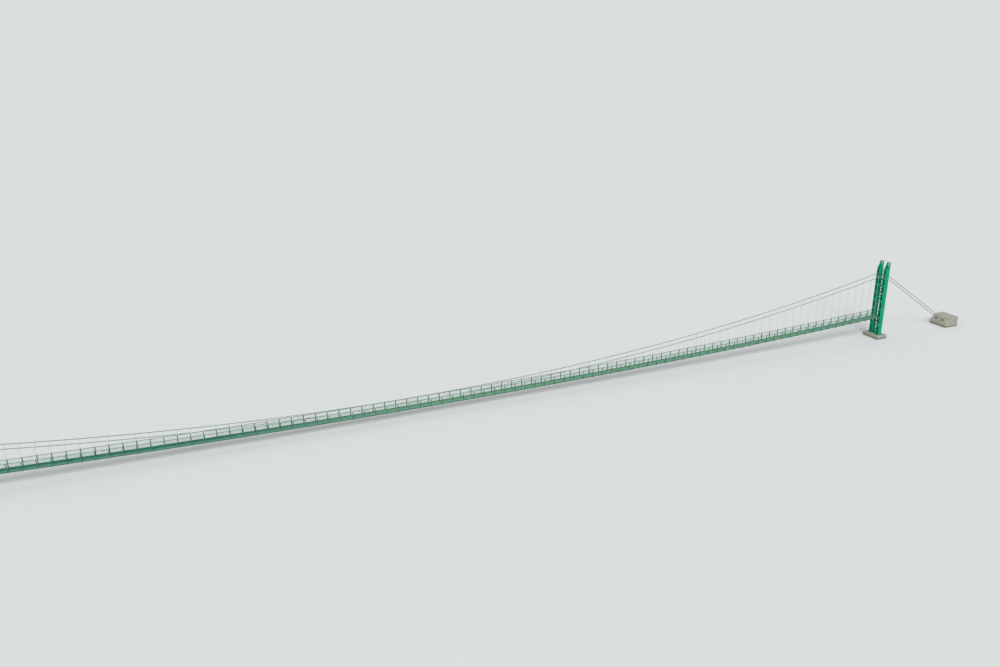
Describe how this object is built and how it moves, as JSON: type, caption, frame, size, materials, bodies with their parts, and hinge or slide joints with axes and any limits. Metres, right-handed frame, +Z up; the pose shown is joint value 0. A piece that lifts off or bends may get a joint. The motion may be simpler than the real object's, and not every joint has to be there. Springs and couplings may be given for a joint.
{
  "type": "1:10 scale model of a suspension footbridge",
  "caption": "Long slender suspension footbridge at one tenth size: green portal towers, sagging main cables, hangers, grating deck between fenced side frames, backstays to concrete anchors.",
  "frame": {"origin": "on the ground under the middle of the span, at the centre of the bottom of the whole bridge", "axes": "+X along the span towards the tower that the picture shows, +Y across to the far side, +Z up"},
  "size_m": [20.1724, 0.32, 1.3013],
  "materials": {
    "green_paint": "weathered teal green gloss paint on steel",
    "grating": "dull galvanised steel grating, slightly mossy",
    "galvanised": "dull galvanised steel",
    "wire_rope": "galvanised twisted steel wire rope",
    "concrete": "cast concrete with board marks, weathered"
  },
  "bodies": {
    "root": {"main_cable_near": "wire_rope", "side_frame_near_1": "green_paint", "side_frame_near_2": "green_paint", "side_frame_near_3": "green_paint", "side_frame_near_4": "green_paint", "side_frame_near_5": "green_paint", "side_frame_near_6": "green_paint", "main_cable_far": "wire_rope", "side_frame_far_1": "green_paint", "side_frame_far_2": "green_paint", "side_frame_far_3": "green_paint", "side_frame_far_4": "green_paint", "side_frame_far_5": "green_paint", "side_frame_far_6": "green_paint", "deck_panel_1": "grating", "deck_panel_2": "grating", "deck_panel_3": "grating", "deck_panel_4": "grating", "deck_panel_5": "grating", "deck_panel_6": "grating", "tower_leg_left_near": "green_paint", "saddle_left_near": "galvanised", "anchor_socket_left_near": "galvanised", "tower_leg_left_far": "green_paint", "saddle_left_far": "galvanised", "anchor_socket_left_far": "galvanised", "base_bracing_left": "green_paint", "tower_bracing_left": "green_paint", "landing_left": "grating", "tower_footing_left": "concrete", "anchor_block_left": "concrete", "tower_leg_right_near": "green_paint", "saddle_right_near": "galvanised", "anchor_socket_right_near": "galvanised", "tower_leg_right_far": "green_paint", "saddle_right_far": "galvanised", "anchor_socket_right_far": "galvanised", "base_bracing_right": "green_paint", "tower_bracing_right": "green_paint", "landing_right": "grating", "tower_footing_right": "concrete", "anchor_block_right": "concrete"}
  },
  "joints": []
}
